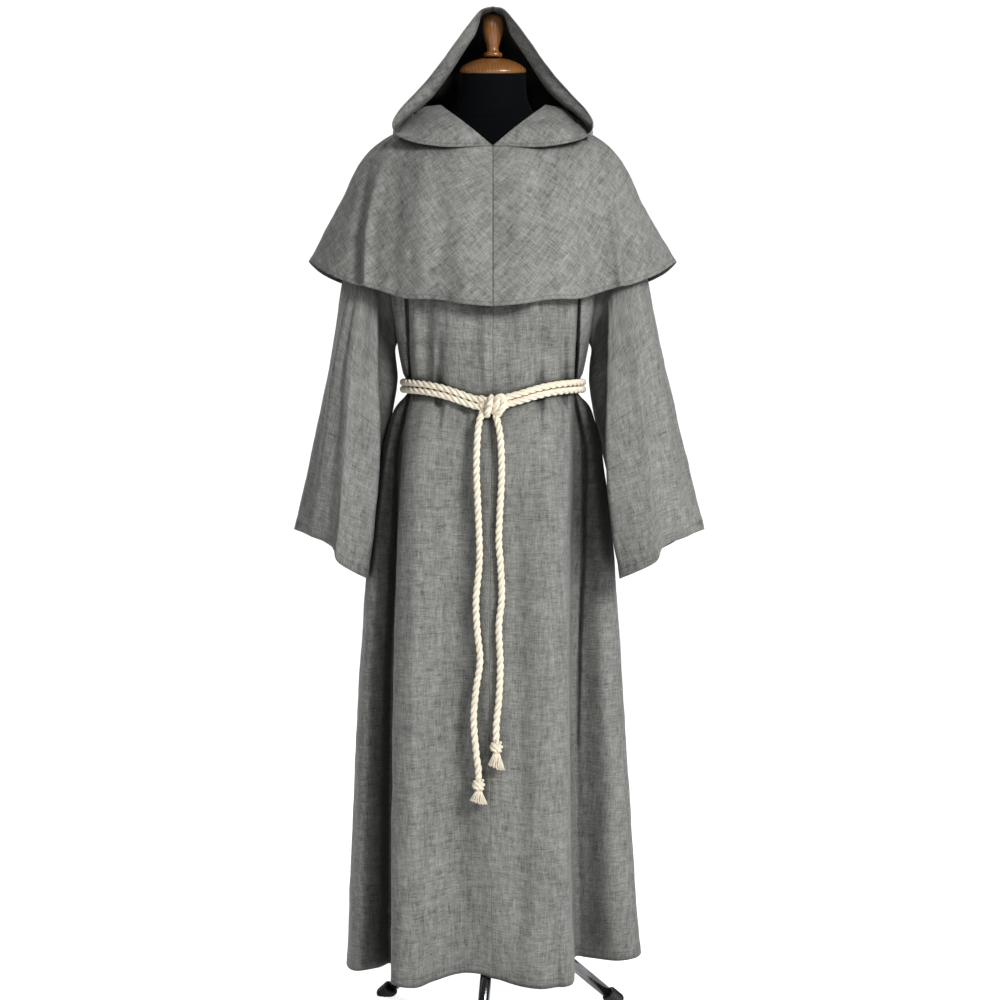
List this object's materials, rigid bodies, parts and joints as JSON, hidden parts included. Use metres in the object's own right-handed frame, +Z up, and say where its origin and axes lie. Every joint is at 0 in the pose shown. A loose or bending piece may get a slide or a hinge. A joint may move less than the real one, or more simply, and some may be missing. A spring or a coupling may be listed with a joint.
{
  "type": "monk habit on a dress form",
  "caption": "Hooded grey linen monk habit with shoulder cape, wide sleeves and knotted cotton rope belt, standing on a limbless black dress form with a chrome tripod.",
  "frame": {"origin": "on the floor, under the middle of the outline seen from above", "axes": "+Z up, the front of the habit faces -Y, +X is to the right of someone who looks at its front"},
  "size_m": [0.73, 0.4418, 1.8],
  "materials": {
    "linen": "matte heathered slub weave",
    "cotton_rope": "matte three-strand twist",
    "jersey": "matte black knit",
    "wood": "satin varnish",
    "chrome": "polished",
    "rubber": "matte"
  },
  "bodies": {
    "root": {"tunic_front_left": "linen", "tunic_front_right": "linen", "tunic_back": "linen", "sleeve_left": "linen", "sleeve_right": "linen", "cape_left": "linen", "cape_right": "linen", "hood_left": "linen", "hood_right": "linen", "belt_upper": "cotton_rope", "belt_lower": "cotton_rope", "belt_knot": "cotton_rope", "belt_end_left": "cotton_rope", "end_knot_left": "cotton_rope", "tassel_left": "cotton_rope", "belt_end_right": "cotton_rope", "end_knot_right": "cotton_rope", "tassel_right": "cotton_rope", "torso": "jersey", "neck_cap": "wood", "finial": "wood", "hub": "chrome", "pole": "chrome", "leg_1": "chrome", "leg_2": "chrome", "leg_3": "chrome", "foot_1": "rubber", "foot_2": "rubber", "foot_3": "rubber"}
  },
  "joints": []
}
